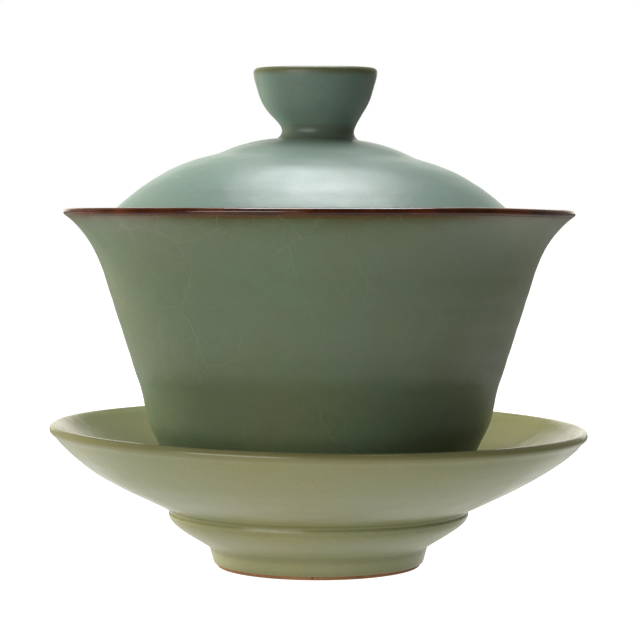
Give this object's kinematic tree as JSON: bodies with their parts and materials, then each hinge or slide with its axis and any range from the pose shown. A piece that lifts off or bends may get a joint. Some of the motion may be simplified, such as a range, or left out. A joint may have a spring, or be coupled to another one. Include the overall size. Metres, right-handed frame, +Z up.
{
  "type": "gaiwan",
  "caption": "Lidded tea bowl on a stepped saucer, crackled celadon glaze with an iron-brown lip and a cup-shaped knob on the domed lid.",
  "frame": {"origin": "centre of the saucer's foot ring, on the surface it stands on", "axes": "+Z up through the saucer, bowl and lid; +X to the right of the front view, -Y towards the viewer"},
  "size_m": [0.1058, 0.1058, 0.0979],
  "materials": {
    "clay": "matte",
    "saucer_glaze": "gloss",
    "bowl_glaze": "gloss",
    "lid_glaze": "gloss",
    "iron_band": "gloss"
  },
  "bodies": {
    "saucer": {"saucer_body": "clay", "saucer_glaze": "saucer_glaze"},
    "bowl": {"bowl_body": "clay", "bowl_glaze": "bowl_glaze", "bowl_lip_band": "iron_band"},
    "lid": {"lid_body": "clay", "lid_knob": "clay", "lid_glaze": "lid_glaze"}
  },
  "joints": [
    {"name": "bowl_lift", "type": "slide", "parent": "saucer", "child": "bowl", "axis": [0, 0, 1], "range_m": [0, 0.05]},
    {"name": "lid_lift", "type": "slide", "parent": "bowl", "child": "lid", "axis": [0, 0, 1], "range_m": [0, 0.04]}
  ]
}
